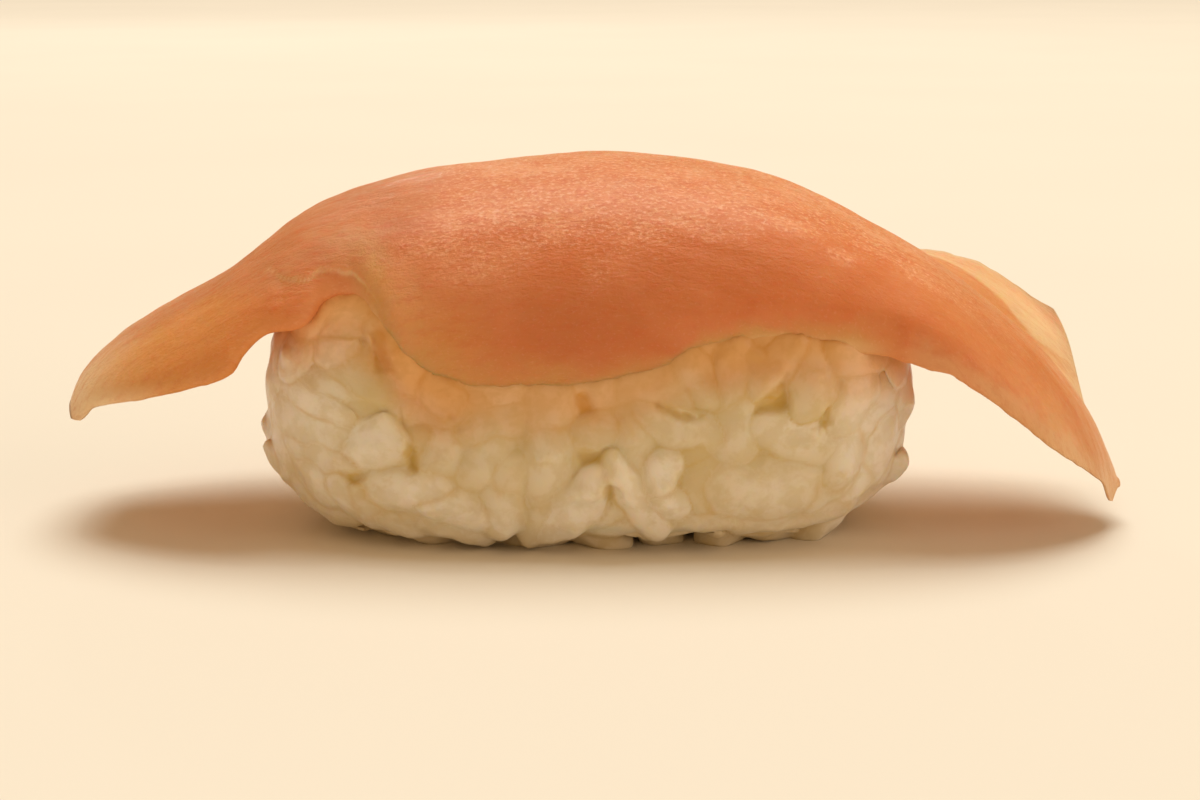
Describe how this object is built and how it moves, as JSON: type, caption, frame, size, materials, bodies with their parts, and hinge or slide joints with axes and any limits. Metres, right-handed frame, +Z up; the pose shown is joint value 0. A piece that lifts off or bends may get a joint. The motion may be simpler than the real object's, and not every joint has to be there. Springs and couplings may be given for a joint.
{
  "type": "nigiri sushi",
  "caption": "Piece of nigiri sushi: a thick slice of orange-pink raw fish draped over a hand-pressed oblong block of short-grain rice.",
  "frame": {"origin": "middle of the piece's length and width, on the surface the rice stands on", "axes": "+X along the piece, towards the pointed tail of the slice; -Y is the front, where the slice hangs lowest over the rice; +Z is up"},
  "size_m": [0.0792, 0.0286, 0.0276],
  "materials": {
    "rice": "cooked short-grain rice: cream, slightly translucent, moist, with sticky grains and amber gaps between them",
    "fish": "raw fish: orange-pink, translucent, moist sheen, fine fibres along the slice and paler, yellower thin edges"
  },
  "bodies": {
    "root": {"rice": "rice", "fish_slice": "fish"}
  },
  "joints": []
}
